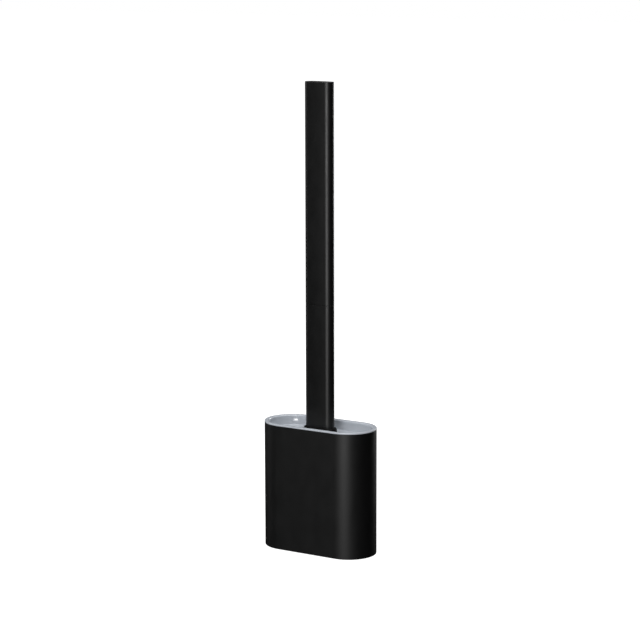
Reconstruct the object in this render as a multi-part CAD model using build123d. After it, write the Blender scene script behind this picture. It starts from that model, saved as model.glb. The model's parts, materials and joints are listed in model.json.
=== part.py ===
"""Free-standing toilet brush set: a flat brush with a two-piece handle in a round-ended holder.

The holder is a casing with a lift-out liner. The flat brush head stands in the liner's slot, and the
upper half of the handle plugs into the lower half. Millimetres, +Z up, the wide side along X. The
origin is on the surface the holder stands on, at the centre of the holder.
"""
import os
from math import cos, radians, sin, sqrt

from build123d import *

# ---- Holder ---------------------------------------------------------------
CASING = (121.0, 55.0)            # outer width and depth, with full round ends
CASING_HEIGHT = 125.5
CASING_WALL = 2.2
CASING_EDGE_ROUND = 0.8           # outer edge at the bottom of the casing
FOOT_PROUD = 0.3                  # height of the casing's bottom edge above the surface
FIT_GAP = 0.2                     # gap round a piece that is fixed inside another

PLATE_BOTTOM = 1.8
PLATE_THICKNESS = 2.5
PLATE_RIM_WALL = 1.6
PLATE_RIM_HEIGHT = 1.3
PAD_HEIGHT = 2.5                  # raised pads that meet the casing's screw bosses
SEAT_THICKNESS = 2.2              # plate left above each screw head

FOOT_RADIUS = 5.0
FOOT_THICKNESS = 2.8
FOOT_EDGE_ROUND = 0.4
FOOT_CORNER_RADIUS = 19.5         # distance of each foot from the centre of the round end
FOOT_ANGLES = (60.0, 120.0, 240.0, 300.0)

BOSS_RADIUS = 3.6
BOSS_TOP = 22.0
BOSS_WEB = 2.0
PAD_RADIUS = 4.4
SCREW_RADIUS = 1.5
SCREW_LENGTH = 12.0
SCREW_TIP_LENGTH = 1.5
SCREW_TIP_INSET = 0.9
SCREW_HEAD_RADIUS = 2.75
SCREW_HEAD_HEIGHT = 1.7
SCREW_SLOT = 0.7                  # width of each bar of the cross recess
SCREW_SLOT_LENGTH = 3.2
SCREW_SLOT_DEPTH = 1.0

TRAY = (92.0, 29.5)
TRAY_HEIGHT = 6.7
TRAY_WALL = 1.3

# ---- Liner ----------------------------------------------------------------
LIP_HEIGHT = 1.4
LIP_FLAT = 3.0                    # flat top of the rim, measured in from the outside
LIP_OUTER_ROUND = 0.4
RECESS_OFFSET = 4.5               # inner wall of the recess at the rim, measured in from the outside
RECESS_FOOT_OFFSET = 6.4          # the same at the shelf, where the wall leans in
RECESS_STRAIGHT = 1.7             # upright stretch of the wall under the rim
SLIDE_GAP = 0.4                   # gap between the liner and the casing
RECESS_DEPTH = 9.2                # from the top of the rim to the shelf
SHELF_THICKNESS = 2.0
SKIRT_BOTTOM = 109.0
SHELF_ROUND = 0.6
SLOT = (86.0, 23.0)               # opening for the brush head, and the inside of the well
SLOT_EDGE_ROUND = 0.8
WELL_WALL = 1.8
WELL_BOTTOM = 12.0
WELL_FLOOR = 2.0
RIB_HEIGHT = 5.0                  # ribs in the bottom of the well that the brush stands on
RIB_WIDTH = 2.0
RIB_SPACING = 36.0
DRAIN = (3.0, 15.0)               # width and length of each drain slot
DRAIN_PITCH = 12.0
DRAIN_COUNT = 6

# ---- Handle ---------------------------------------------------------------
HANDLE = (31.0, 13.0)
HANDLE_WALL = 1.4
HANDLE_TOP = 463.8
HANDLE_SEAM = 246.5
HANDLE_FOOT = 118.0
TUBE_EDGE = 0.3

SOCKET_WALL = 0.9
SOCKET_FLOOR = 216.0
SOCKET_FLOOR_THICKNESS = 2.0
SOCKET_RECESS = 0.4               # the socket's mouth lies this far below the tube's
PLUG_GAP = 0.2
PLUG_LENGTH = 25.0
PLUG_INSERT = 23.5                # length of the plug that is fixed in the upper tube
PLUG_COLLAR = 6.9                 # full-size stretch of the plug next to the seam
PLUG_STEP = 0.2
PLUG_END_CHAMFER = 0.8
PLUG_CORE_OFFSET = 1.6
PLUG_END_WALL = 4.5
RING_WIDTH = 1.2
RING_DEPTH = 0.8
RING_PROUD = 0.05
CAP_LENGTH = 14.0
CAP_RECESS = 0.3
CAP_TOP = 1.9
CAP_WALL = 1.8

# ---- Brush head -----------------------------------------------------------
COLLAR = (35.8, 17.8)             # black collar at the foot of the handle
COLLAR_TOP = 124.0
COLLAR_TOP_ROUND = 2.0
COLLAR_WALL = 2.0
SHOULDER = (74.0, 17.8)           # the collar widens to this at the top of the head
SHOULDER_BOTTOM = 100.5
SHOULDER_SIDE = 3.0
SHOULDER_TOP = 113.0
LEDGE_THICKNESS = 1.0             # ledge in the collar that carries the handle tube

NECK = (30.6, 13.6)
NECK_HOLE = (24.2, 7.2)
NECK_TOP_GAP = 0.3
NECK_HOLE_BOTTOM = 101.5
FLANGE = (70.0, 15.0)
FLANGE_THICKNESS = 3.0
BOARD_WIDTH = 60.0
BOARD_THICKNESS = 5.0
BOARD_BOTTOM = 26.0
BOARD_CORNER = 16.0
WINDOW = (9.0, 46.0)              # width and height of the openings that key the sleeve
WINDOW_PITCH = 18.0
WINDOW_COUNT = 3

TONGUE = (24.0, 7.0)
TONGUE_BOTTOM = 101.7
ADAPTER_TOP = 142.0
ADAPTER_GAP = 0.1
ADAPTER_POCKET_BOTTOM = 122.0
ADAPTER_WALL = 2.2
PIN_RADIUS = 1.5
PIN_LENGTH = 13.0
PIN_SPACING = 14.0
PIN_HEIGHT = 109.0

HEAD = (80.0, 20.0)               # outside of the bristles
HEAD_CORNER = 24.0
SLEEVE_SKIN = 1.6
RIDGE_THICKNESS = 3.0
RIDGE_PITCH = 7.5
TIP_PAD_WIDTH = 50.0

# ---- Worked out from the sizes above --------------------------------------
PAST = 1.0                        # cutting tools run this far past the faces they cut
NEAR = 0.01                       # an edge this close to a height or an outline lies on it
CASING_BOTTOM = FOOT_PROUD
CASING_TOP = CASING_BOTTOM + CASING_HEIGHT
LIP_TOP = CASING_TOP + LIP_HEIGHT
SHELF = LIP_TOP - RECESS_DEPTH
PLATE_TOP = PLATE_BOTTOM + PLATE_THICKNESS
PAD_TOP = PLATE_TOP + PAD_HEIGHT
HEAD_SEAT = PAD_TOP - SEAT_THICKNESS         # underside of each screw head
WELL_INSIDE = WELL_BOTTOM + WELL_FLOOR
HEAD_BOTTOM = WELL_INSIDE + RIB_HEIGHT
FLANGE_BOTTOM = SHOULDER_BOTTOM - FLANGE_THICKNESS
PLUG_BOTTOM = HANDLE_SEAM - PLUG_LENGTH
SOCKET_OFFSET = HANDLE_WALL + SOCKET_WALL


def inset(size, offset):
    """A round-ended outline moved inwards by an offset."""
    return (size[0] - 2 * offset, size[1] - 2 * offset)


def outline(size, height):
    """A round-ended outline on a level plane."""
    return Plane.XY.offset(height) * SlotOverall(size[0], size[1])


def slab(size, bottom, top):
    """An upright solid with a round-ended section."""
    return extrude(outline(size, bottom), top - bottom)


def taper(lower_size, bottom, upper_size, top):
    """A solid that changes from one round-ended section to another."""
    return loft([outline(lower_size, bottom), outline(upper_size, top)], ruled=True)


def rod(x, y, radius, bottom, top):
    """An upright round rod."""
    return Pos(x, y, bottom) * Cylinder(radius, top - bottom, align=(Align.CENTER, Align.CENTER, Align.MIN))


def level_edges(solid, height):
    """The edges of a solid that lie wholly at one height."""
    return solid.edges().filter_by_position(Axis.Z, height - NEAR, height + NEAR)


def edges_within(solid, height, size):
    """The edges of a solid at one height that lie on or inside a round-ended outline's width and depth."""
    def is_within(edge):
        box = edge.bounding_box()
        return max(box.max.X, -box.min.X) < size[0] / 2 + NEAR and max(box.max.Y, -box.min.Y) < size[1] / 2 + NEAR
    return level_edges(solid, height).filter_by(is_within)


def foot_places():
    """The x and y of each foot, screw and boss."""
    end_centre = (CASING[0] - CASING[1]) / 2
    for angle in FOOT_ANGLES:
        side = 1 if cos(radians(angle)) > 0 else -1
        x = side * end_centre + FOOT_CORNER_RADIUS * cos(radians(angle))
        y = FOOT_CORNER_RADIUS * sin(radians(angle))
        yield x, y, angle


def casing_sleeve():
    """Outer casing, open at both ends, with four bosses for the base plate's screws."""
    solid = slab(CASING, CASING_BOTTOM, CASING_TOP)
    solid = fillet(level_edges(solid, CASING_BOTTOM), CASING_EDGE_ROUND)
    bore = slab(inset(CASING, CASING_WALL), CASING_BOTTOM - PAST, CASING_TOP + PAST)
    solid -= bore
    for x, y, angle in foot_places():
        reach = CASING[1] / 2 - CASING_WALL / 2 - FOOT_CORNER_RADIUS
        web = Box(reach, BOSS_WEB, BOSS_TOP - PAD_TOP, align=(Align.MIN, Align.CENTER, Align.MIN))
        solid += rod(x, y, BOSS_RADIUS, PAD_TOP, BOSS_TOP) + Pos(x, y, PAD_TOP) * Rot(0, 0, angle) * web
    for x, y, _ in foot_places():
        solid -= rod(x, y, SCREW_RADIUS, PAD_TOP - PAST, HEAD_SEAT + SCREW_LENGTH + PAST)
    return solid


def base_plate():
    """Plate that closes the bottom of the casing, with pockets for the feet and screws."""
    plate_size = inset(CASING, CASING_WALL + FIT_GAP)
    rim_top = PLATE_TOP + PLATE_RIM_HEIGHT
    solid = slab(plate_size, PLATE_BOTTOM, PLATE_TOP)
    solid += slab(plate_size, PLATE_TOP, rim_top) - slab(inset(plate_size, PLATE_RIM_WALL), PLATE_TOP, rim_top)
    fence_inside = inset(TRAY, -FIT_GAP)
    fence_outside = inset(fence_inside, -PLATE_RIM_WALL)
    solid += slab(fence_outside, PLATE_TOP, rim_top) - slab(fence_inside, PLATE_TOP, rim_top)
    for x, y, _ in foot_places():
        solid += rod(x, y, PAD_RADIUS, PLATE_TOP, PAD_TOP)
    for x, y, _ in foot_places():
        solid -= rod(x, y, FOOT_RADIUS + FIT_GAP, PLATE_BOTTOM - PAST, FOOT_THICKNESS)
        solid -= rod(x, y, SCREW_HEAD_RADIUS + FIT_GAP, FOOT_THICKNESS, HEAD_SEAT)
        solid -= rod(x, y, SCREW_RADIUS + FIT_GAP, HEAD_SEAT, PAD_TOP + PAST)
    return solid


def base_screws():
    """Four cross-head screws that hold the base plate, driven up from below."""
    screws = []
    for x, y, _ in foot_places():
        shank_top = HEAD_SEAT + SCREW_LENGTH
        head_bottom = HEAD_SEAT - SCREW_HEAD_HEIGHT
        screw = rod(x, y, SCREW_HEAD_RADIUS, head_bottom, HEAD_SEAT)
        screw += rod(x, y, SCREW_RADIUS, HEAD_SEAT, shank_top)
        screw = chamfer(level_edges(screw, shank_top), SCREW_TIP_LENGTH, SCREW_TIP_INSET)
        for angle in (0, 90):
            bar = Box(SCREW_SLOT_LENGTH, SCREW_SLOT, SCREW_SLOT_DEPTH * 2)
            screw -= Pos(x, y, head_bottom) * Rot(0, 0, angle) * bar
        screws.append(screw)
    return Compound(screws)


def non_slip_feet():
    """Four soft round feet, stuck into the base plate's pockets over the screws."""
    feet = []
    for x, y, _ in foot_places():
        foot = rod(x, y, FOOT_RADIUS, 0, FOOT_THICKNESS)
        feet.append(fillet(level_edges(foot, 0), FOOT_EDGE_ROUND))
    return Compound(feet)


def drip_tray():
    """Shallow tray on the base plate that catches what drains from the well."""
    tray_top = PLATE_TOP + TRAY_HEIGHT
    return slab(TRAY, PLATE_TOP, tray_top) - slab(inset(TRAY, TRAY_WALL), PLATE_TOP + TRAY_WALL, tray_top + PAST)


def liner_cup():
    """Lift-out liner in one piece: rim, recess with a shelf, and the well for the brush head."""
    recess = inset(CASING, RECESS_OFFSET)
    body = inset(CASING, CASING_WALL + SLIDE_GAP)
    well = inset(SLOT, -WELL_WALL)
    lip = slab(CASING, CASING_TOP, LIP_TOP)
    lip = fillet(level_edges(lip, LIP_TOP), LIP_OUTER_ROUND)
    solid = lip + slab(body, SKIRT_BOTTOM, CASING_TOP)
    solid -= slab(recess, SKIRT_BOTTOM - PAST, SHELF - SHELF_THICKNESS)
    solid += slab(well, WELL_BOTTOM, SHELF - SHELF_THICKNESS / 2)
    straight_bottom = LIP_TOP - RECESS_STRAIGHT
    hollow = taper(inset(CASING, RECESS_FOOT_OFFSET), SHELF, recess, straight_bottom)
    hollow += slab(recess, straight_bottom, LIP_TOP + PAST)
    solid -= fillet(level_edges(hollow, SHELF), SHELF_ROUND)
    solid -= slab(SLOT, WELL_INSIDE, SHELF + PAST)
    solid = fillet(edges_within(solid, SHELF, SLOT), SLOT_EDGE_ROUND)
    solid = fillet(edges_within(solid, LIP_TOP, recess), RECESS_OFFSET - LIP_FLAT)
    for side in (-1, 1):
        rib = Box(RIB_WIDTH, SLOT[1] + WELL_WALL, RIB_HEIGHT + WELL_FLOOR / 2)
        middle = WELL_INSIDE - WELL_FLOOR / 2 + (RIB_HEIGHT + WELL_FLOOR / 2) / 2
        solid += Pos(side * RIB_SPACING / 2, 0, middle) * rib
    for index in range(DRAIN_COUNT):
        x = (index - (DRAIN_COUNT - 1) / 2) * DRAIN_PITCH
        drain = extrude(Plane.XY.offset(WELL_BOTTOM - PAST) * Rot(0, 0, 90) * SlotOverall(DRAIN[1], DRAIN[0]),
                        WELL_FLOOR + 2 * PAST)
        solid -= Pos(x, 0, 0) * drain
    return solid


def tube(bottom, top):
    """A length of the handle's hollow section, with its end edges just broken."""
    solid = slab(HANDLE, bottom, top)
    solid = chamfer(level_edges(solid, bottom) + level_edges(solid, top), TUBE_EDGE)
    return solid - slab(inset(HANDLE, HANDLE_WALL), bottom - PAST, top + PAST)


def joint_socket():
    """Moulded insert in the mouth of the lower tube that the plug slides into."""
    inside = inset(HANDLE, SOCKET_OFFSET)
    top = HANDLE_SEAM - SOCKET_RECESS
    solid = slab(inset(HANDLE, HANDLE_WALL), SOCKET_FLOOR - SOCKET_FLOOR_THICKNESS, top)
    return solid - slab(inside, SOCKET_FLOOR, top + PAST)


def plug_size(step=0.0):
    """Section of the plug, less a step on each side."""
    return inset(HANDLE, SOCKET_OFFSET + PLUG_GAP + step)


def joint_plug():
    """Stepped plug fixed in the upper tube, with a groove for the ring."""
    groove_top = HANDLE_SEAM - PLUG_COLLAR
    groove_bottom = groove_top - RING_WIDTH
    end = slab(plug_size(PLUG_STEP), PLUG_BOTTOM, groove_bottom)
    solid = chamfer(level_edges(end, PLUG_BOTTOM), PLUG_END_CHAMFER)
    solid += slab(plug_size(RING_DEPTH), groove_bottom, groove_top)
    solid += slab(plug_size(), groove_top, HANDLE_SEAM)
    solid += slab(inset(HANDLE, HANDLE_WALL), HANDLE_SEAM, HANDLE_SEAM + PLUG_INSERT)
    core = plug_size(PLUG_CORE_OFFSET)
    return solid - slab(core, PLUG_BOTTOM + PLUG_END_WALL, HANDLE_SEAM + PLUG_INSERT + PAST)


def joint_ring():
    """Soft ring in the plug's groove that grips the socket."""
    top = HANDLE_SEAM - PLUG_COLLAR
    return slab(plug_size(-RING_PROUD), top - RING_WIDTH, top) - slab(plug_size(RING_DEPTH), top - RING_WIDTH, top)


def handle_top_cap():
    """Plug that closes the top of the handle."""
    size = inset(HANDLE, HANDLE_WALL)
    top = HANDLE_TOP - CAP_RECESS
    bottom = top - CAP_LENGTH
    return slab(size, bottom, top) - slab(inset(size, CAP_WALL), bottom - PAST, top - CAP_TOP)


def pin_rods(length, radius=PIN_RADIUS):
    """Two level rods across the neck, where the pins go."""
    rods = []
    for side in (-1, 1):
        place = Pos(side * PIN_SPACING / 2, 0, PIN_HEIGHT) * Rot(90, 0, 0)
        rods.append(place * Cylinder(radius, length))
    return rods


def head_pins():
    """Two dowel pins that lock the adapter into the core's neck."""
    return Compound(pin_rods(PIN_LENGTH))


def head_adapter():
    """Insert that joins the lower tube to the head: a plug above and a flat tongue below."""
    plug = inset(HANDLE, HANDLE_WALL + ADAPTER_GAP)
    solid = slab(TONGUE, TONGUE_BOTTOM, HANDLE_FOOT) + slab(plug, HANDLE_FOOT, ADAPTER_TOP)
    solid -= slab(inset(plug, ADAPTER_WALL), ADAPTER_POCKET_BOTTOM, ADAPTER_TOP + PAST)
    for hole in pin_rods(COLLAR[1]):
        solid -= hole
    return solid


def head_collar():
    """Hollow black collar between the handle and the brush head, with sloping shoulders."""
    lip = slab(COLLAR, SHOULDER_TOP, COLLAR_TOP)
    lip = fillet(level_edges(lip, COLLAR_TOP), COLLAR_TOP_ROUND)
    side_top = SHOULDER_BOTTOM + SHOULDER_SIDE
    solid = lip + taper(SHOULDER, side_top, COLLAR, SHOULDER_TOP) + slab(SHOULDER, SHOULDER_BOTTOM, side_top)
    neck_space = inset(NECK, -FIT_GAP)
    inner_shoulder = inset(SHOULDER, COLLAR_WALL)
    inner_top = SHOULDER_TOP - COLLAR_WALL
    ledge_bottom = HANDLE_FOOT - LEDGE_THICKNESS
    solid -= slab(inner_shoulder, SHOULDER_BOTTOM - PAST, side_top - COLLAR_WALL / 2)
    solid -= taper(inner_shoulder, side_top - COLLAR_WALL / 2, inset(COLLAR, COLLAR_WALL), inner_top)
    solid -= slab(neck_space, SHOULDER_BOTTOM - PAST, ledge_bottom)
    solid -= slab(NECK_HOLE, ledge_bottom - PAST, HANDLE_FOOT + PAST)
    return solid - slab(inset(HANDLE, -ADAPTER_GAP), HANDLE_FOOT, COLLAR_TOP + PAST)


def board_outline(offset, bottom):
    """Front outline of the flat board, grown by an offset, with two round lower corners."""
    half = BOARD_WIDTH / 2 + offset
    corner = BOARD_CORNER + offset
    with BuildSketch(Plane.XZ) as sketch:
        with BuildLine():
            Line((-half, FLANGE_BOTTOM), (half, FLANGE_BOTTOM))
            Line((half, FLANGE_BOTTOM), (half, bottom + corner))
            RadiusArc((half, bottom + corner), (half - corner, bottom), corner)
            Line((half - corner, bottom), (corner - half, bottom))
            RadiusArc((corner - half, bottom), (-half, bottom + corner), corner)
            Line((-half, bottom + corner), (-half, FLANGE_BOTTOM))
        make_face()
    return sketch.sketch


def board():
    """The stiff board without its neck and flange."""
    solid = extrude(board_outline(0, BOARD_BOTTOM), BOARD_THICKNESS / 2, both=True)
    middle = (BOARD_BOTTOM + FLANGE_BOTTOM) / 2
    for index in range(WINDOW_COUNT):
        x = (index - (WINDOW_COUNT - 1) / 2) * WINDOW_PITCH
        window = Plane.XZ * Pos(x, middle) * Rot(0, 0, 90) * SlotOverall(WINDOW[1], WINDOW[0])
        solid -= extrude(window, BOARD_THICKNESS, both=True)
    return solid


def head_core():
    """Stiff core of the brush head: a board with openings, a flange and a hollow neck."""
    solid = board() + slab(FLANGE, FLANGE_BOTTOM, SHOULDER_BOTTOM)
    neck_top = HANDLE_FOOT - LEDGE_THICKNESS - NECK_TOP_GAP
    solid += slab(NECK, SHOULDER_BOTTOM, neck_top)
    solid -= slab(NECK_HOLE, NECK_HOLE_BOTTOM, neck_top + PAST)
    for hole in pin_rods(COLLAR[1]):
        solid -= hole
    return solid


def head_half_width(height):
    """Half the width of the bristle field at a height, narrowing round the lower corners."""
    rise = height - HEAD_BOTTOM
    half = HEAD[0] / 2
    if rise >= HEAD_CORNER:
        return half
    return half - HEAD_CORNER + sqrt(HEAD_CORNER**2 - (HEAD_CORNER - rise) ** 2)


def bristle_sleeve():
    """Soft sleeve moulded over the board. Each ridge stands for one level row of bristles."""
    skin_bottom = BOARD_BOTTOM - SLEEVE_SKIN
    thickness = BOARD_THICKNESS + 2 * SLEEVE_SKIN
    solid = extrude(board_outline(SLEEVE_SKIN, skin_bottom), thickness / 2, both=True)
    pad = Box(TIP_PAD_WIDTH, thickness, skin_bottom + PAST - HEAD_BOTTOM)
    solid += Pos(0, 0, (skin_bottom + PAST + HEAD_BOTTOM) / 2) * pad
    bottom = HEAD_BOTTOM + RIDGE_PITCH
    while bottom + RIDGE_THICKNESS < FLANGE_BOTTOM:
        width = 2 * head_half_width(bottom)
        solid += slab((width, HEAD[1]), bottom, bottom + RIDGE_THICKNESS)
        bottom += RIDGE_PITCH
    return solid - board()


def main():
    nodes = {
        "casing_sleeve": casing_sleeve(),
        "base_plate": base_plate(),
        "base_screws": base_screws(),
        "non_slip_feet": non_slip_feet(),
        "drip_tray": drip_tray(),
        "liner_cup": liner_cup(),
        "lower_handle_tube": tube(HANDLE_FOOT, HANDLE_SEAM),
        "joint_socket": joint_socket(),
        "head_adapter": head_adapter(),
        "head_pins": head_pins(),
        "head_collar": head_collar(),
        "head_core": head_core(),
        "bristle_sleeve": bristle_sleeve(),
        "upper_handle_tube": tube(HANDLE_SEAM, HANDLE_TOP),
        "joint_plug": joint_plug(),
        "joint_ring": joint_ring(),
        "handle_top_cap": handle_top_cap(),
    }
    os.makedirs("parts", exist_ok=True)
    for name, solid in nodes.items():
        export_step(solid, f"parts/{name}.step")


main()
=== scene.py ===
"""Looks of the toilet brush holder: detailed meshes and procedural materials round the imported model.

Metres, +Z up, the wide side along X. Round-ended outlines are (width, depth) pairs, and a profile is a
list of corners (inset from the outline, height, rounding radius).
"""
import json
import math
import random

import bmesh
import bpy
from mathutils import Matrix, Vector


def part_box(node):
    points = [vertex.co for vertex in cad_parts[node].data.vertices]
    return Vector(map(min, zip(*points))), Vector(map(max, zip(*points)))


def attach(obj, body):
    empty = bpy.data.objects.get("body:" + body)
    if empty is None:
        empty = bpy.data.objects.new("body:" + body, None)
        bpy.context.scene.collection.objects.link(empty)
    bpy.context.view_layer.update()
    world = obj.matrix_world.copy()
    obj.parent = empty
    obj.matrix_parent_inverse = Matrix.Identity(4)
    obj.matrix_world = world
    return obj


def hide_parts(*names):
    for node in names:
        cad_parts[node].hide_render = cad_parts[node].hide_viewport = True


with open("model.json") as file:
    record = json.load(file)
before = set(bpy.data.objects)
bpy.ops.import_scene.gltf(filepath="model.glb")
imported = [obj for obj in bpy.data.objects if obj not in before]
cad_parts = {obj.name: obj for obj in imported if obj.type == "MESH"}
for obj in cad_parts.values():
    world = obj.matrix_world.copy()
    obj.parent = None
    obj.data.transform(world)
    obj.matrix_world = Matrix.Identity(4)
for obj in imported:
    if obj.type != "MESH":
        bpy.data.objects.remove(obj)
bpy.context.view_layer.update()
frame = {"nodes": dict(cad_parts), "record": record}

MM = 0.001
ARC_STEPS = 40                    # segments round each half circle of an outline
SIDE_STEPS = 8                    # segments along each straight side
ROUND_STEPS = 5                   # segments in each rounded profile corner
BEND_STEPS = 10                   # segments down the leaning wall of the recess
LATHE_STEPS = 40                  # segments round each turned solid

# ---- Places and sizes taken from the frame ---------------------------------


def outline_of(node):
    """Width and depth of a CAD node's box."""
    low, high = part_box(node)
    return (high.x - low.x, high.y - low.y)


def heights_of(node):
    """Lowest and highest point of a CAD node."""
    low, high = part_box(node)
    return low.z, high.z


CASING = outline_of("casing_sleeve")
CASING_BOTTOM, CASING_TOP = heights_of("casing_sleeve")
WELL_BOTTOM, LIP_TOP = heights_of("liner_cup")
HANDLE = outline_of("upper_handle_tube")
TUBE_BORE = outline_of("handle_top_cap")
SEAM, HANDLE_TOP = heights_of("upper_handle_tube")
HANDLE_FOOT = heights_of("lower_handle_tube")[0]
PLUG_BOTTOM, PLUG_TOP = heights_of("joint_plug")
RING_BOTTOM, RING_TOP = heights_of("joint_ring")
SHOULDER = outline_of("head_collar")
SHOULDER_BOTTOM, COLLAR_TOP = heights_of("head_collar")
HEAD = outline_of("bristle_sleeve")
HEAD_BOTTOM, HEAD_TOP = heights_of("bristle_sleeve")
TRAY = outline_of("drip_tray")
TRAY_BOTTOM, TRAY_TOP = heights_of("drip_tray")

CASING_WALL = 2.2 * MM
SLIDE_GAP = 0.4 * MM
RECESS_TOP = 4.5 * MM             # inset of the recess wall at the rim
RECESS_FOOT = 6.4 * MM            # inset of the recess wall at the shelf
RECESS_DEPTH = 9.2 * MM
RECESS_STRAIGHT = 1.7 * MM        # upright stretch of the recess wall under the rim
SHELF_THICKNESS = 2.0 * MM
SKIRT_BOTTOM = 109.0 * MM
SLOT = (86.0 * MM, 23.0 * MM)
WELL_WALL = 1.8 * MM
WELL_FLOOR = 2.0 * MM
DRAIN = (15.0 * MM, 3.0 * MM)
DRAIN_PITCH = 12.0 * MM
DRAIN_COUNT = 6
TUBE_WALL = (HANDLE[0] - TUBE_BORE[0]) / 2
SOCKET_WALL = 0.9 * MM
SOCKET_FLOOR = 2.0 * MM
COLLAR = (35.8 * MM, SHOULDER[1])
SHOULDER_TOP = 113.0 * MM
SHELF = LIP_TOP - RECESS_DEPTH
PAD_OFFSET = 18.0 * MM            # from the centre to each rib in the well and the pad that stands on it

# ---- Mesh building ----------------------------------------------------------


def inset(size, offset):
    """A round-ended outline moved inwards."""
    return (size[0] - 2 * offset, size[1] - 2 * offset)


def outline_points(size):
    """Points round a round-ended outline, the same number for every size."""
    radius = size[1] / 2
    half_side = (size[0] - size[1]) / 2
    points = []
    for side in (1, -1):
        for step in range(ARC_STEPS + 1):
            angle = math.pi * (step / ARC_STEPS - 0.5)
            points.append((side * (half_side + radius * math.cos(angle)), side * radius * math.sin(angle)))
        for step in range(1, SIDE_STEPS):
            points.append((side * half_side * (1 - 2 * step / SIDE_STEPS), side * radius))
    return points


def rounded(corners, closed):
    """A profile's (inset, height) points, with an arc in place of each corner that has a radius."""
    points = []
    count = len(corners)
    for index, (x, z, radius) in enumerate(corners):
        here = Vector((x, z))
        is_end = not closed and index in (0, count - 1)
        if radius == 0 or is_end:
            points.append((x, z))
            continue
        back = (Vector(corners[index - 1][:2]) - here).normalized()
        ahead = (Vector(corners[(index + 1) % count][:2]) - here).normalized()
        half_angle = back.angle(ahead) / 2
        reach = radius / math.tan(half_angle)
        centre = here + (back + ahead).normalized() * (radius / math.sin(half_angle))
        start = here + back * reach - centre
        end = here + ahead * reach - centre
        for step in range(ROUND_STEPS + 1):
            arm = start.lerp(end, step / ROUND_STEPS).normalized() * radius
            points.append(tuple(centre + arm))
    return points


def rings_from(size, corners, closed=False):
    """The (width, depth, height) rings of a profile run round an outline."""
    return [(*inset(size, x), z) for x, z in rounded(corners, closed)]


def loft(bm, rows, closed=False):
    """Adds a skin over rows of points, each a closed loop. An open skin gets a flat cap at each end."""
    loops = [[bm.verts.new(point) for point in row] for row in rows]
    pairs = list(zip(loops, loops[1:]))
    if closed:
        pairs.append((loops[-1], loops[0]))
    for lower, upper in pairs:
        for index in range(len(lower)):
            after = (index + 1) % len(lower)
            bm.faces.new((lower[index], lower[after], upper[after], upper[index]))
    if not closed:
        bm.faces.new(loops[0])
        bm.faces.new(loops[-1])


def sweep(bm, rings, closed):
    """Adds a skin over (width, depth, height) rings."""
    loft(bm, [[(x, y, z) for x, y in outline_points((w, d))] for w, d, z in rings], closed)


def turn_angles(steps):
    """Even angles round a full turn."""
    return [2 * math.pi * step / steps for step in range(steps)]


def lathe(bm, x, y, profile):
    """Adds a turned solid round an upright axis, from (radius, height) points."""
    angles = turn_angles(LATHE_STEPS)
    rows = []
    for radius, z in profile:
        rows.append([(x + radius * math.cos(a), y + radius * math.sin(a), z) for a in angles])
    loft(bm, rows)


def block(bm, centre, size, turn=0.0):
    """Adds a box, turned about its own upright axis."""
    place = Matrix.Translation(centre) @ Matrix.Rotation(turn, 4, "Z") @ Matrix.Diagonal((*size, 1.0))
    bmesh.ops.create_cube(bm, size=1.0, matrix=place)


def piece_from(bm, name, sharp_angle=35.0):
    """Turns a bmesh into a shown, smooth-shaded object."""
    bmesh.ops.recalc_face_normals(bm, faces=bm.faces[:])
    mesh = bpy.data.meshes.new(name)
    bm.to_mesh(mesh)
    bm.free()
    mesh.polygons.foreach_set("use_smooth", [True] * len(mesh.polygons))
    mesh.set_sharp_from_angle(angle=math.radians(sharp_angle))
    piece = bpy.data.objects.new(name, mesh)
    bpy.context.scene.collection.objects.link(piece)
    normals = piece.modifiers.new("even_shading", "WEIGHTED_NORMAL")
    normals.keep_sharp = True
    return piece


def cut(piece, tool, operation):
    """Joins a tool to a piece, or takes it away, and removes the tool."""
    change = piece.modifiers.new("change", "BOOLEAN")
    change.operation = operation
    change.solver = "EXACT"
    change.object = tool
    piece.modifiers.move(len(piece.modifiers) - 1, 0)
    bpy.context.view_layer.objects.active = piece
    bpy.ops.object.modifier_apply(modifier=change.name)
    bpy.data.objects.remove(tool)


def shell(name, size, corners, closed=True, crown=0.0):
    """A piece whose profile runs all round one outline. A crown bows its wide faces outwards."""
    bm = bmesh.new()
    sweep(bm, rings_from(size, corners, closed), closed)
    half_side = (size[0] - size[1]) / 2
    for vert in bm.verts:
        vert.co.y *= 1 - crown / (size[1] / 2) * min(1.0, (vert.co.x / half_side) ** 2)
    return piece_from(bm, name)


# ---- Materials ----------------------------------------------------------------

NOISE_LOW, NOISE_HIGH = 0.3, 0.7  # most of a noise value lies between these
FLOW_SIZE = 28 * MM               # size of the slow waves that moulding leaves
SMUDGE_SIZE = 9 * MM              # size of the handling marks


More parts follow.
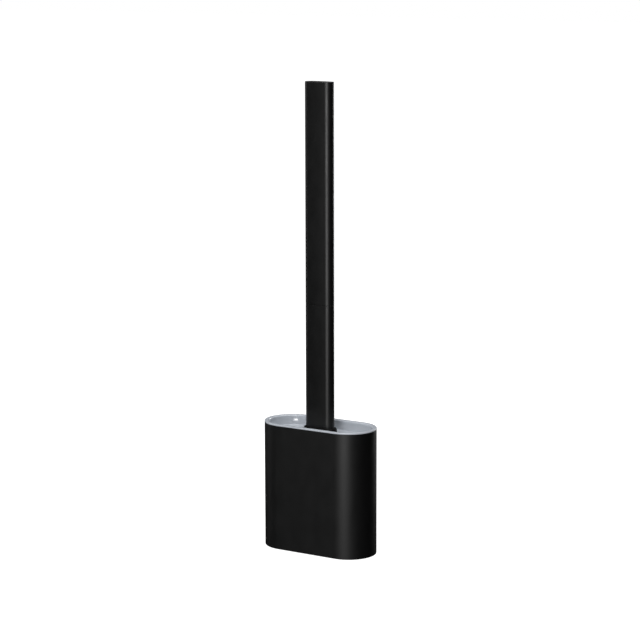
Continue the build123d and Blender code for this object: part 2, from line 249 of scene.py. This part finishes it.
class Look:
    """A material being built: a Principled shader with its coordinates at hand."""

    def __init__(self, name, base, roughness, specular=0.5):
        self.material = bpy.data.materials.new(name)
        self.material.use_nodes = True
        self.nodes = self.material.node_tree.nodes
        self.links = self.material.node_tree.links
        self.shader = self.nodes["Principled BSDF"]
        self.base = base
        self.set("Base Color", (*base, 1.0))
        self.set("Roughness", roughness)
        self.set("Specular IOR Level", specular)
        self.place = self.nodes.new("ShaderNodeTexCoord").outputs["Object"]
        self.bumps = None

    def set(self, socket, value):
        """Sets a value on the shader's own socket."""
        self.shader.inputs[socket].default_value = value

    def noise(self, size, detail=3.0, stretch=(1, 1, 1)):
        """A noise value whose features are about size metres across."""
        mapping = self.nodes.new("ShaderNodeMapping")
        mapping.inputs["Scale"].default_value = stretch
        self.links.new(self.place, mapping.inputs["Vector"])
        noise = self.nodes.new("ShaderNodeTexNoise")
        noise.inputs["Scale"].default_value = 1.0 / size
        noise.inputs["Detail"].default_value = detail
        self.links.new(mapping.outputs["Vector"], noise.inputs["Vector"])
        return noise.outputs["Fac"]

    def ranged(self, value, low, high):
        """Maps the middle of a noise value's spread to a range."""
        ramp = self.nodes.new("ShaderNodeMapRange")
        ramp.inputs["From Min"].default_value = NOISE_LOW
        ramp.inputs["From Max"].default_value = NOISE_HIGH
        ramp.inputs["To Min"].default_value = low
        ramp.inputs["To Max"].default_value = high
        self.links.new(value, ramp.inputs["Value"])
        return ramp.outputs["Result"]

    def vary_colour(self, value, darker, lighter):
        """Moves the base colour between two shares of itself."""
        mix = self.nodes.new("ShaderNodeMix")
        mix.data_type = "RGBA"
        mix.inputs["A"].default_value = (*[c * darker for c in self.base], 1.0)
        mix.inputs["B"].default_value = (*[c * lighter for c in self.base], 1.0)
        self.links.new(self.ranged(value, 0.0, 1.0), mix.inputs["Factor"])
        self.links.new(mix.outputs["Result"], self.shader.inputs["Base Color"])

    def vary_roughness(self, value, low, high):
        """Moves the roughness between two values."""
        self.links.new(self.ranged(value, low, high), self.shader.inputs["Roughness"])

    def bump(self, value, height):
        """Adds a surface relief of a height in metres."""
        bump = self.nodes.new("ShaderNodeBump")
        bump.inputs["Strength"].default_value = 1.0
        bump.inputs["Distance"].default_value = height
        self.links.new(value, bump.inputs["Height"])
        if self.bumps:
            self.links.new(self.bumps, bump.inputs["Normal"])
        self.bumps = bump.outputs["Normal"]
        self.links.new(self.bumps, self.shader.inputs["Normal"])


def moulded(name, base, roughness, specular=0.46, grain=0.35 * MM, grain_height=0.006 * MM,
            wave_height=0.02 * MM, smudges=0.035):
    """Moulded plastic: fine spark-eroded grain, slow flow marks, and faint handling marks in the gloss."""
    look = Look(name, base, roughness, specular)
    fine = look.noise(grain, detail=2.0)
    slow = look.noise(FLOW_SIZE, detail=2.0)
    smudge = look.noise(SMUDGE_SIZE, detail=5.0, stretch=(1, 1, 0.45))
    look.vary_colour(slow, 0.97, 1.03)
    look.vary_roughness(smudge, roughness - smudges, roughness + smudges)
    look.bump(slow, wave_height)
    look.bump(fine, grain_height)
    return look.material


def rubber(name, base, roughness):
    """Soft moulded rubber: matte, slightly mottled, with a little light passing through."""
    look = Look(name, base, roughness, specular=0.4)
    mottle = look.noise(3 * MM, detail=4.0)
    look.vary_colour(mottle, 0.88, 1.1)
    look.vary_roughness(look.noise(1.2 * MM), roughness - 0.06, roughness + 0.06)
    look.bump(look.noise(0.5 * MM), 0.015 * MM)
    look.set("Subsurface Weight", 0.12)
    look.set("Subsurface Scale", 1.5 * MM)
    return look.material


def plated_steel(name):
    """Zinc-plated steel with fine turning marks."""
    look = Look(name, (0.60, 0.60, 0.58), 0.3)
    look.set("Metallic", 1.0)
    look.vary_colour(look.noise(1.5 * MM, detail=4.0), 0.85, 1.1)
    look.vary_roughness(look.noise(0.8 * MM), 0.24, 0.42)
    look.bump(look.noise(0.2 * MM, stretch=(1, 1, 8)), 0.004 * MM)
    return look.material


BLACK = (0.0021, 0.0021, 0.0022)
GREY = (0.430, 0.457, 0.498)
MATERIALS = {
    "black_shell": moulded("black_shell_plastic", BLACK, 0.485),
    "black_handle": moulded("black_handle_plastic", BLACK, 0.435, 0.40, grain=0.3 * MM),
    "black_collar": moulded("black_collar_plastic", BLACK, 0.65, 0.12),
    "black_plug": moulded("black_plug_plastic", (0.005, 0.005, 0.0052), 0.46),
    "black_inner": moulded("black_inner_plastic", (0.008, 0.008, 0.0084), 0.52),
    "grey_plastic": moulded("grey_liner_plastic", GREY, 0.18, 0.72, grain=0.5 * MM, grain_height=0.001 * MM,
                            wave_height=0.008 * MM, smudges=0.02),
    "grey_core": moulded("grey_core_plastic", (0.20, 0.21, 0.24), 0.5),
    "bristle_rubber": rubber("bristle_rubber", (0.235, 0.25, 0.285), 0.52),
    "foot_rubber": rubber("foot_rubber", (0.022, 0.022, 0.022), 0.75),
    "steel": plated_steel("plated_steel"),
}
SLOT_OF = {part["node"]: part["material_slot"] for part in frame["record"]["subparts"]}


def finish_piece(piece, node):
    """Gives a piece its node's material, slot and body, and has it stand for that node."""
    slot_name = SLOT_OF[node]
    piece.data.materials.clear()
    piece.data.materials.append(MATERIALS[slot_name])
    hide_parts(node)
    body = next(b for b, nodes in frame["record"]["behaviour"]["bodies"].items() if node in nodes)
    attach(piece, body)


# ---- Holder ---------------------------------------------------------------------

FOOT_RING = 19.5 * MM             # distance of each foot from the centre of the round end
FOOT_ANGLES = (60, 120, 240, 300)
BOSS_RADIUS = 3.6 * MM
BOSS_BOTTOM = 6.8 * MM
BOSS_TOP = 22.0 * MM
BOSS_CHAMFER = 0.4 * MM
WEB_THICKNESS = 2.0 * MM          # web that ties a boss to the casing
TRAY_WALL = 1.3 * MM
PAN_CENTRE = 12.0 * MM            # inset where the middle of the tray's floor begins
FOOT_RADIUS = 5.0 * MM
FOOT_EDGE = 0.45 * MM
FOOT_GROOVES = (1.6 * MM, 2.8 * MM, 4.0 * MM)
GROOVE_HALF = 0.35 * MM
GROOVE_SLOPE = 0.1 * MM
GROOVE_DEPTH = 0.15 * MM
RIB_THICKNESS = 2.0 * MM
BITE = 1.0 * MM                   # how far a tool or rib runs into or past the wall it meets


def foot_places():
    """The x, y and angle of each foot."""
    end_centre = (CASING[0] - CASING[1]) / 2
    for degrees in FOOT_ANGLES:
        angle = math.radians(degrees)
        side = 1 if math.cos(angle) > 0 else -1
        yield side * end_centre + FOOT_RING * math.cos(angle), FOOT_RING * math.sin(angle), angle


def make_casing():
    """Matte black sleeve with broken edges and the four screw bosses inside."""
    piece = shell("casing_shell", CASING, [
        (0, CASING_BOTTOM, 0.8 * MM),
        (0, CASING_TOP, 0.35 * MM),
        (CASING_WALL, CASING_TOP, 0.3 * MM),
        (CASING_WALL, CASING_BOTTOM, 0.3 * MM),
    ])
    web_reach = CASING[1] / 2 - CASING_WALL / 2 - FOOT_RING
    profile = [
        (BOSS_RADIUS, BOSS_BOTTOM),
        (BOSS_RADIUS, BOSS_TOP - BOSS_CHAMFER),
        (BOSS_RADIUS - BOSS_CHAMFER, BOSS_TOP),
    ]
    for x, y, angle in foot_places():
        bm = bmesh.new()
        lathe(bm, x, y, profile)
        cut(piece, piece_from(bm, "boss"), "UNION")
        bm = bmesh.new()
        out = Vector((math.cos(angle), math.sin(angle), 0)) * web_reach / 2
        middle = Vector((x, y, (BOSS_BOTTOM + BOSS_TOP) / 2 - 0.1 * MM)) + out
        block(bm, middle, (web_reach, WEB_THICKNESS, BOSS_TOP - BOSS_BOTTOM - 0.4 * MM), angle)
        cut(piece, piece_from(bm, "web"), "UNION")
    finish_piece(piece, "casing_sleeve")


def make_liner():
    """Light grey liner: rim, recess with a leaning wall, shelf, and the well with ribs and drain slots."""
    floor = WELL_BOTTOM + WELL_FLOOR
    under_shelf = SHELF - SHELF_THICKNESS
    body = CASING_WALL + SLIDE_GAP
    bend_top = LIP_TOP - RECESS_STRAIGHT
    bend_angle = 2 * math.atan2(RECESS_FOOT - RECESS_TOP, bend_top - SHELF)
    bend_radius = (bend_top - SHELF) / math.sin(bend_angle)
    bend = []
    for step in range(BEND_STEPS):
        angle = bend_angle * (1 - step / BEND_STEPS)
        out, down = bend_radius * (1 - math.cos(angle)), bend_radius * math.sin(angle)
        bend.append((RECESS_TOP + out, bend_top - down, 0))
    rings = rings_from(SLOT, [
        (1 * MM, floor, 0),
        (0, floor, 0.8 * MM),
        (0, SHELF, 0.8 * MM),
        (-2 * MM, SHELF, 0),
    ])
    rings += rings_from(CASING, [(RECESS_FOOT + 0.6 * MM, SHELF, 0), *bend])
    rings += rings_from(CASING, [
        (RECESS_TOP, bend_top, 0),
        (RECESS_TOP, LIP_TOP, 1.5 * MM),
        (0, LIP_TOP, 0.45 * MM),
        (0, CASING_TOP, 0.15 * MM),
        (body, CASING_TOP, 0.1 * MM),
        (body, SKIRT_BOTTOM, 0.4 * MM),
        (RECESS_TOP, SKIRT_BOTTOM, 0.4 * MM),
        (RECESS_TOP, under_shelf, 0.4 * MM),
        (RECESS_TOP + 1 * MM, under_shelf, 0),
    ])
    rings += rings_from(SLOT, [
        (-WELL_WALL - 2 * MM, under_shelf, 0),
        (-WELL_WALL, under_shelf, 0.8 * MM),
        (-WELL_WALL, WELL_BOTTOM, 1 * MM),
        (1 * MM, WELL_BOTTOM, 0),
    ])
    bm = bmesh.new()
    sweep(bm, rings, closed=False)
    piece = piece_from(bm, "liner")
    bm = bmesh.new()
    for side in (-1, 1):
        middle = (side * PAD_OFFSET, 0, (floor - BITE + HEAD_BOTTOM) / 2)
        block(bm, middle, (RIB_THICKNESS, SLOT[1] + WELL_WALL, HEAD_BOTTOM - floor + BITE))
    cut(piece, piece_from(bm, "ribs"), "UNION")
    bm = bmesh.new()
    sweep(bm, [(*DRAIN, WELL_BOTTOM - BITE), (*DRAIN, floor + BITE)], closed=False)
    bmesh.ops.rotate(bm, verts=bm.verts, matrix=Matrix.Rotation(math.pi / 2, 3, "Z"))
    drain = piece_from(bm, "drain")
    for index in range(DRAIN_COUNT):
        tool = drain.copy()
        tool.location.x = (index - (DRAIN_COUNT - 1) / 2) * DRAIN_PITCH
        bpy.context.scene.collection.objects.link(tool)
        cut(piece, tool, "DIFFERENCE")
    bpy.data.objects.remove(drain)
    finish_piece(piece, "liner_cup")


def make_tray():
    """Drip tray with a rounded edge."""
    piece = shell("drip_tray_pan", TRAY, [
        (PAN_CENTRE, TRAY_BOTTOM, 0),
        (0, TRAY_BOTTOM, 1.2 * MM),
        (0, TRAY_TOP, 0.5 * MM),
        (TRAY_WALL, TRAY_TOP, 0.5 * MM),
        (TRAY_WALL, TRAY_BOTTOM + TRAY_WALL, 0.8 * MM),
        (PAN_CENTRE, TRAY_BOTTOM + TRAY_WALL, 0),
    ], closed=False)
    finish_piece(piece, "drip_tray")


def make_feet():
    """Four soft feet with a rounded edge and shallow grip rings underneath."""
    top = heights_of("non_slip_feet")[1]
    profile = [(0.8 * MM, GROOVE_DEPTH)]
    for groove in FOOT_GROOVES:
        inner, outer = groove - GROOVE_HALF, groove + GROOVE_HALF
        profile += [(inner - GROOVE_SLOPE, 0), (inner, GROOVE_DEPTH)]
        profile += [(outer, GROOVE_DEPTH), (outer + GROOVE_SLOPE, 0)]
    profile += [
        (FOOT_RADIUS - FOOT_EDGE, 0),
        (FOOT_RADIUS - 0.13 * MM, 0.13 * MM),
        (FOOT_RADIUS, FOOT_EDGE),
        (FOOT_RADIUS, top),
    ]
    bm = bmesh.new()
    for x, y, _ in foot_places():
        lathe(bm, x, y, profile)
    finish_piece(piece_from(bm, "grip_feet"), "non_slip_feet")


# ---- Handle ---------------------------------------------------------------------

TUBE_EDGE = 0.45 * MM
CROWN = 0.3 * MM                  # how far the wide faces of the handle bow outwards
CAP_START = 2.0 * MM              # inset past a solid end's edge where its flat middle begins
PRESS_GAP = 0.02 * MM             # sliver left between pieces that are pressed together
PLUG_OFFSET = TUBE_WALL + SOCKET_WALL + 0.2 * MM
PLUG_STEP = 0.2 * MM              # how much slimmer the plug's end is
GROOVE_INSET = 0.8 * MM           # depth of the ring's groove, and of the ring
RING_PROUD = 0.05 * MM            # how far the ring stands out of the plug
TIP_LINE_RISE = 2.2 * MM          # from the plug's tip to the fine line round it
TIP_LINE_DEPTH = 0.15 * MM


def make_tube(name, node, bottom, top):
    """A hollow length of the handle with softly broken ends."""
    piece = shell(name, HANDLE, [
        (0, bottom, TUBE_EDGE),
        (0, top, TUBE_EDGE),
        (TUBE_WALL, top, 0.2 * MM),
        (TUBE_WALL, bottom, 0.2 * MM),
    ], crown=CROWN)
    finish_piece(piece, node)


def make_socket():
    """Insert in the lower tube's mouth, with a lead-in."""
    bottom, top = heights_of("joint_socket")
    outer = TUBE_WALL + PRESS_GAP
    inner = TUBE_WALL + SOCKET_WALL
    floor = bottom + SOCKET_FLOOR
    piece = shell("socket_insert", HANDLE, [
        (inner + CAP_START, bottom, 0),
        (outer, bottom, 0.4 * MM),
        (outer, top, 0.1 * MM),
        (inner - 0.35 * MM, top, 0.1 * MM),
        (inner, top - 0.8 * MM, 0.3 * MM),
        (inner, floor, 0.4 * MM),
        (inner + CAP_START, floor, 0),
    ], closed=False, crown=CROWN)
    finish_piece(piece, "joint_socket")


def make_plug():
    """Stepped plug: a full-size stretch, the ring's groove, and a slimmer end with a fine line."""
    step = PLUG_OFFSET + PLUG_STEP
    groove = PLUG_OFFSET + GROOVE_INSET
    tip_line = PLUG_BOTTOM + TIP_LINE_RISE
    piece = shell("stepped_plug", HANDLE, [
        (step + CAP_START, PLUG_BOTTOM, 0),
        (step, PLUG_BOTTOM, 0.9 * MM),
        (step, tip_line, 0),
        (step + TIP_LINE_DEPTH, tip_line + TIP_LINE_DEPTH, 0),
        (step, tip_line + 2 * TIP_LINE_DEPTH, 0),
        (step, RING_BOTTOM, 0.1 * MM),
        (groove, RING_BOTTOM, 0),
        (groove, RING_TOP, 0),
        (PLUG_OFFSET, RING_TOP, 0.15 * MM),
        (PLUG_OFFSET, SEAM - 0.1 * MM, 0.05 * MM),
        (TUBE_WALL + PRESS_GAP, SEAM - 0.1 * MM, 0.05 * MM),
        (TUBE_WALL + PRESS_GAP, PLUG_TOP, 0.4 * MM),
        (TUBE_WALL + CAP_START, PLUG_TOP, 0),
    ], closed=False, crown=CROWN)
    finish_piece(piece, "joint_plug")


def make_ring():
    """Soft round-faced ring in the plug's groove."""
    outer = PLUG_OFFSET - RING_PROUD
    inner = outer + GROOVE_INSET
    bottom, top = RING_BOTTOM + PRESS_GAP, RING_TOP - PRESS_GAP
    piece = shell("grip_ring", HANDLE, [
        (outer, bottom, 0.45 * MM),
        (outer, top, 0.45 * MM),
        (inner, top, 0.05 * MM),
        (inner, bottom, 0.05 * MM),
    ], crown=CROWN)
    finish_piece(piece, "joint_ring")


def make_cap():
    """Plug in the top of the handle, just below the tube's rim."""
    bottom, top = heights_of("handle_top_cap")
    outer = TUBE_WALL + 0.03 * MM
    piece = shell("top_cap", HANDLE, [
        (TUBE_WALL + CAP_START, bottom, 0),
        (outer, bottom, 0.5 * MM),
        (outer, top, 0.35 * MM),
        (TUBE_WALL + CAP_START, top, 0),
    ], closed=False, crown=CROWN)
    finish_piece(piece, "handle_top_cap")


# ---- Brush head -------------------------------------------------------------------

SHOULDER_EDGE = 3.0 * MM          # height of the collar's upright edge
SHOULDER_STEPS = 14
SHOULDER_SWELL = 0.05             # bend of the sloping shoulder line
BOARD_BOTTOM = 24.4 * MM          # underside of the sleeve's skin
SKIN_WIDTH = 63.2 * MM
SKIN_THICKNESS = 8.2 * MM
SKIN_CORNER = 17.6 * MM
SKIN_STEPS = 30
SKIN_CROWDING = 1.6               # draws the skin's rings closer together near its rounded bottom
SKIN_NARROWING = 2.2 * MM         # how much thinner the skin gets at its bottom edge
ROOT_DEPTH = 0.4 * MM             # how far the bristles start inside the skin
ROW_SPACING = 0.87                # height between rows as a share of the pitch
EDGE_START = 4.0 * MM             # from the top of the skin to the first bristle on its edge
EDGE_ROWS = (-2.0 * MM, 2.0 * MM)
EDGE_TRIM = 2.9 * MM              # how much shorter the edge bristles get towards the bottom
PAD_TOP = 26.0 * MM
PAD_SIZE = (7.0 * MM, 6.0 * MM)
BOTTOM_START, BOTTOM_END = -13.5 * MM, 14.0 * MM
BOTTOM_PITCH = 4.5 * MM
BOTTOM_ROWS = (-1.8 * MM, 1.8 * MM)
BOTTOM_LENGTH = 5.4 * MM
BRISTLE_PITCH = 4.6 * MM
BRISTLE_RADIUS = 1.05 * MM
BRISTLE_TIP = 0.5 * MM
BRISTLE_LEAN = 0.06               # largest sideways share of a bristle's direction on each axis
LEAN_SEED = 7
BRISTLE_STEPS = 10                # segments round a bristle
BRISTLE_SECTIONS = (              # (share of the length, radius) from root to tip
    (0.0, BRISTLE_RADIUS * 1.35),
    (0.1, BRISTLE_RADIUS),
    (0.55, (BRISTLE_RADIUS + BRISTLE_TIP) / 2),
    (0.92, BRISTLE_TIP),
    (0.98, BRISTLE_TIP * 0.75),
    (1.0, BRISTLE_TIP * 0.35),
)


def make_collar():
    """Black collar: level lip round the tube, then shoulders that spread to the width of the head."""
    side_top = SHOULDER_BOTTOM + SHOULDER_EDGE
    rings = rings_from(SHOULDER, [
        (CAP_START, SHOULDER_BOTTOM, 0),
        (0, SHOULDER_BOTTOM, 0.5 * MM),
        (0, side_top, 0),
    ])
    for step in range(1, SHOULDER_STEPS):
        share = step / SHOULDER_STEPS
        eased = share + SHOULDER_SWELL * math.sin(2 * math.pi * share)
        width = SHOULDER[0] + (COLLAR[0] - SHOULDER[0]) * eased
        rings.append((width, COLLAR[1], side_top + (SHOULDER_TOP - side_top) * share))
    tube_hole = (COLLAR[0] - HANDLE[0]) / 2 - 0.1 * MM
    rings += rings_from(COLLAR, [
        (0, SHOULDER_TOP, 0),
        (0, COLLAR_TOP, 2.0 * MM),
        (tube_hole, COLLAR_TOP, 0.15 * MM),
        (tube_hole, HANDLE_FOOT, 0),
        (tube_hole + 3 * MM, HANDLE_FOOT, 0),
    ])
    bm = bmesh.new()
    sweep(bm, rings, closed=False)
    finish_piece(piece_from(bm, "collar"), "head_collar")


def skin_half_width(z):
    """Half the width of the sleeve's skin at a height."""
    rise = z - BOARD_BOTTOM
    half = SKIN_WIDTH / 2
    if rise >= SKIN_CORNER:
        return half
    return half - SKIN_CORNER + math.sqrt(max(SKIN_CORNER**2 - (SKIN_CORNER - rise) ** 2, 0))


def add_bristle(bm, root, direction, length, rng):
    """One tapered bristle with a rounded tip, leaning a little at random."""
    lean = Vector((rng.uniform(-1, 1), rng.uniform(-1, 1), rng.uniform(-1, 1))) * BRISTLE_LEAN
    axis = (direction + lean - direction * lean.dot(direction)).normalized()
    across = axis.orthogonal().normalized()
    other = axis.cross(across)
    angles = turn_angles(BRISTLE_STEPS)
    rows = []
    for share, radius in BRISTLE_SECTIONS:
        middle = root + axis * length * share
        rows.append([middle + (across * math.cos(a) + other * math.sin(a)) * radius for a in angles])
    loft(bm, rows)


def edge_places():
    """Points down each side of the skin's edge and round its corner, with their outward directions."""
    half = SKIN_WIDTH / 2
    straight = HEAD_TOP - EDGE_START - (BOARD_BOTTOM + SKIN_CORNER)
    quarter = math.pi / 2 * SKIN_CORNER
    for side in (-1, 1):
        travelled = 0.0
        while travelled < straight:
            yield Vector((side * half, 0, HEAD_TOP - EDGE_START - travelled)), Vector((side, 0, 0))
            travelled += BRISTLE_PITCH
        while travelled < straight + quarter:
            angle = (travelled - straight) / SKIN_CORNER
            out = Vector((side * math.cos(angle), 0, -math.sin(angle)))
            centre = Vector((side * (half - SKIN_CORNER), 0, BOARD_BOTTOM + SKIN_CORNER))
            yield centre + out * SKIN_CORNER, out
            travelled += BRISTLE_PITCH


def add_skin(bm):
    """The sleeve's flat skin, rounded off at the bottom."""
    rings = []
    for step in range(SKIN_STEPS + 1):
        share = (step / SKIN_STEPS) ** SKIN_CROWDING
        z = BOARD_BOTTOM + 0.3 * MM + (HEAD_TOP - BOARD_BOTTOM - 0.3 * MM) * share
        narrowing = SKIN_NARROWING * max(0.0, 1 - (z - BOARD_BOTTOM) / (3 * MM)) ** 2
        rings.append((2 * skin_half_width(z), SKIN_THICKNESS - narrowing, z))
    sweep(bm, rings, closed=False)


def add_face_bristles(bm, rng):
    """Staggered rows of bristles on both wide faces."""
    face = SKIN_THICKNESS / 2 - ROOT_DEPTH
    reach = HEAD[1] / 2 - face - 0.25 * MM
    row = 0
    z = BOARD_BOTTOM + 5 * MM
    while z < HEAD_TOP - 2 * MM:
        usable = skin_half_width(z) - 3.2 * MM
        x = -usable + (row % 2) * BRISTLE_PITCH / 2
        while x <= usable:
            for side in (-1, 1):
                add_bristle(bm, Vector((x, side * face, z)), Vector((0, side, 0)), reach, rng)
            x += BRISTLE_PITCH
        z += BRISTLE_PITCH * ROW_SPACING
        row += 1


def add_edge_bristles(bm, rng):
    """Two rows of bristles round the skin's edge, shorter towards the bottom."""
    side_reach = (HEAD[0] - SKIN_WIDTH) / 2 - 0.5 * MM
    for root, out in edge_places():
        length = side_reach - EDGE_TRIM * max(0.0, -out.z)
        for y in EDGE_ROWS:
            add_bristle(bm, root - out * ROOT_DEPTH + Vector((0, y, 0)), out, length, rng)


def add_bottom(bm, rng):
    """The two pads that stand on the well's ribs, with short bristles between them."""
    pad_bottom = HEAD_BOTTOM + 0.05 * MM
    for side in (-1, 1):
        block(bm, (side * PAD_OFFSET, 0, (pad_bottom + PAD_TOP) / 2), (*PAD_SIZE, PAD_TOP - pad_bottom))
    x = BOTTOM_START
    while x < BOTTOM_END:
        for y in BOTTOM_ROWS:
            root = Vector((x, y, BOARD_BOTTOM + 0.6 * MM))
            add_bristle(bm, root, Vector((0, 0, -1)), BOTTOM_LENGTH, rng)
        x += BOTTOM_PITCH


def make_bristles():
    """Sleeve skin over the board, with bristles on both faces, round the edge and underneath."""
    rng = random.Random(LEAN_SEED)
    bm = bmesh.new()
    add_skin(bm)
    add_face_bristles(bm, rng)
    add_edge_bristles(bm, rng)
    add_bottom(bm, rng)
    finish_piece(piece_from(bm, "bristle_head", sharp_angle=50.0), "bristle_sleeve")


# ---- The whole object ---------------------------------------------------------------


def dress_cad_nodes(names):
    """Gives the CAD nodes that stay as they are their procedural materials."""
    for name in names:
        node = frame["nodes"][name]
        node.data.materials.clear()
        node.data.materials.append(MATERIALS[SLOT_OF[name]])


make_casing()
make_liner()
make_tray()
make_feet()
make_tube("upper_tube", "upper_handle_tube", SEAM, HANDLE_TOP)
make_tube("lower_tube", "lower_handle_tube", HANDLE_FOOT, SEAM)
make_socket()
make_plug()
make_ring()
make_cap()
make_collar()
make_bristles()
dress_cad_nodes(["base_plate", "base_screws", "head_adapter", "head_pins", "head_core"])

# ---- Studio ---------------------------------------------------------------------------

FILL_LIGHT = 0.25                 # strength of the even light from all round
LIGHT_AIM = Vector((0, 0, 0.13))  # just above the rim
LIGHTS = (                        # name, azimuth, elevation, distance, size, watts
    ("key", 12.8, 7.1, 1.612, (0.55, 0.55), 16.0),
    ("overhead", 20, 84, 1.3, (1.2, 1.2), 20.0),
    ("edge_left", -78, 8, 1.4, (0.5, 0.9), 1.5),
    ("edge_right", 172, 10, 1.4, (0.4, 0.9), 6.0),
)
CAMERA_AZIMUTH = 32.2
CAMERA_ELEVATION = 9.9
CAMERA_DISTANCE = 2.1786
CAMERA_AIM = Vector((0, 0, 0.2309))
CAMERA_ROLL = -0.135
CAMERA_LENS = 125.03
SENSOR_WIDTH = 36.0
CAMERA_NEAR, CAMERA_FAR = 0.05, 60.0
FLOOR_REACH = 12.0                # from the object to each edge of the floor


def direction_to(azimuth, elevation):
    """The way from the object. Azimuth 0 is in front of it, and 90 on its +X side."""
    a, e = math.radians(azimuth), math.radians(elevation)
    return Vector((math.sin(a) * math.cos(e), -math.cos(a) * math.cos(e), math.sin(e)))


def make_floor():
    """Plain white floor out to the white surroundings. It neither lights the object nor shows in it."""
    bm = bmesh.new()
    bmesh.ops.create_grid(bm, x_segments=8, y_segments=8, size=FLOOR_REACH)
    mesh = bpy.data.meshes.new("floor")
    bm.to_mesh(mesh)
    bm.free()
    floor = bpy.data.objects.new("floor", mesh)
    bpy.context.scene.collection.objects.link(floor)
    look = Look("floor_paper", (0.3, 0.3, 0.3), 0.9, 0.1)
    look.set("Emission Color", (1, 1, 1, 1))
    look.set("Emission Strength", 1.0)
    mesh.materials.append(look.material)
    floor.visible_glossy = False
    floor.visible_diffuse = False


def make_surroundings():
    """White to the camera, a dim even fill for diffuse light, and dark in reflections."""
    world = bpy.data.worlds.new("studio")
    bpy.context.scene.world = world
    world.use_nodes = True
    nodes, links = world.node_tree.nodes, world.node_tree.links
    background = nodes["Background"]
    background.inputs["Color"].default_value = (1, 1, 1, 1)
    path = nodes.new("ShaderNodeLightPath")
    fill = nodes.new("ShaderNodeMath")
    fill.operation = "MULTIPLY"
    fill.inputs[1].default_value = FILL_LIGHT
    links.new(path.outputs["Is Diffuse Ray"], fill.inputs[0])
    total = nodes.new("ShaderNodeMath")
    total.operation = "ADD"
    links.new(path.outputs["Is Camera Ray"], total.inputs[0])
    links.new(fill.outputs[0], total.inputs[1])
    links.new(total.outputs[0], background.inputs["Strength"])


def area_light(name, azimuth, elevation, distance, size, power):
    """A soft rectangular light that the camera doesn't see."""
    light = bpy.data.lights.new(name, "AREA")
    light.shape = "RECTANGLE"
    light.size, light.size_y = size
    light.energy = power
    lamp = bpy.data.objects.new(name, light)
    bpy.context.scene.collection.objects.link(lamp)
    away = direction_to(azimuth, elevation)
    lamp.location = LIGHT_AIM + away * distance
    lamp.rotation_mode = "QUATERNION"
    lamp.rotation_quaternion = (-away).to_track_quat("-Z", "Y")
    lamp.visible_camera = False


def make_camera():
    """Long lens, a little above the object and to its right."""
    data = bpy.data.cameras.new("camera")
    data.sensor_width = SENSOR_WIDTH
    data.lens = CAMERA_LENS
    data.clip_start, data.clip_end = CAMERA_NEAR, CAMERA_FAR
    camera = bpy.data.objects.new("camera", data)
    bpy.context.scene.collection.objects.link(camera)
    back = direction_to(CAMERA_AZIMUTH, CAMERA_ELEVATION)
    camera.location = CAMERA_AIM + back * CAMERA_DISTANCE
    camera.rotation_mode = "QUATERNION"
    level = (-back).to_track_quat("-Z", "Y")
    camera.rotation_quaternion = level @ Matrix.Rotation(math.radians(CAMERA_ROLL), 4, "Z").to_quaternion()
    bpy.context.scene.camera = camera


make_floor()
make_surroundings()
for light_values in LIGHTS:
    area_light(*light_values)
make_camera()
bpy.context.scene.view_settings.view_transform = "Standard"
bpy.context.scene.view_settings.look = "None"
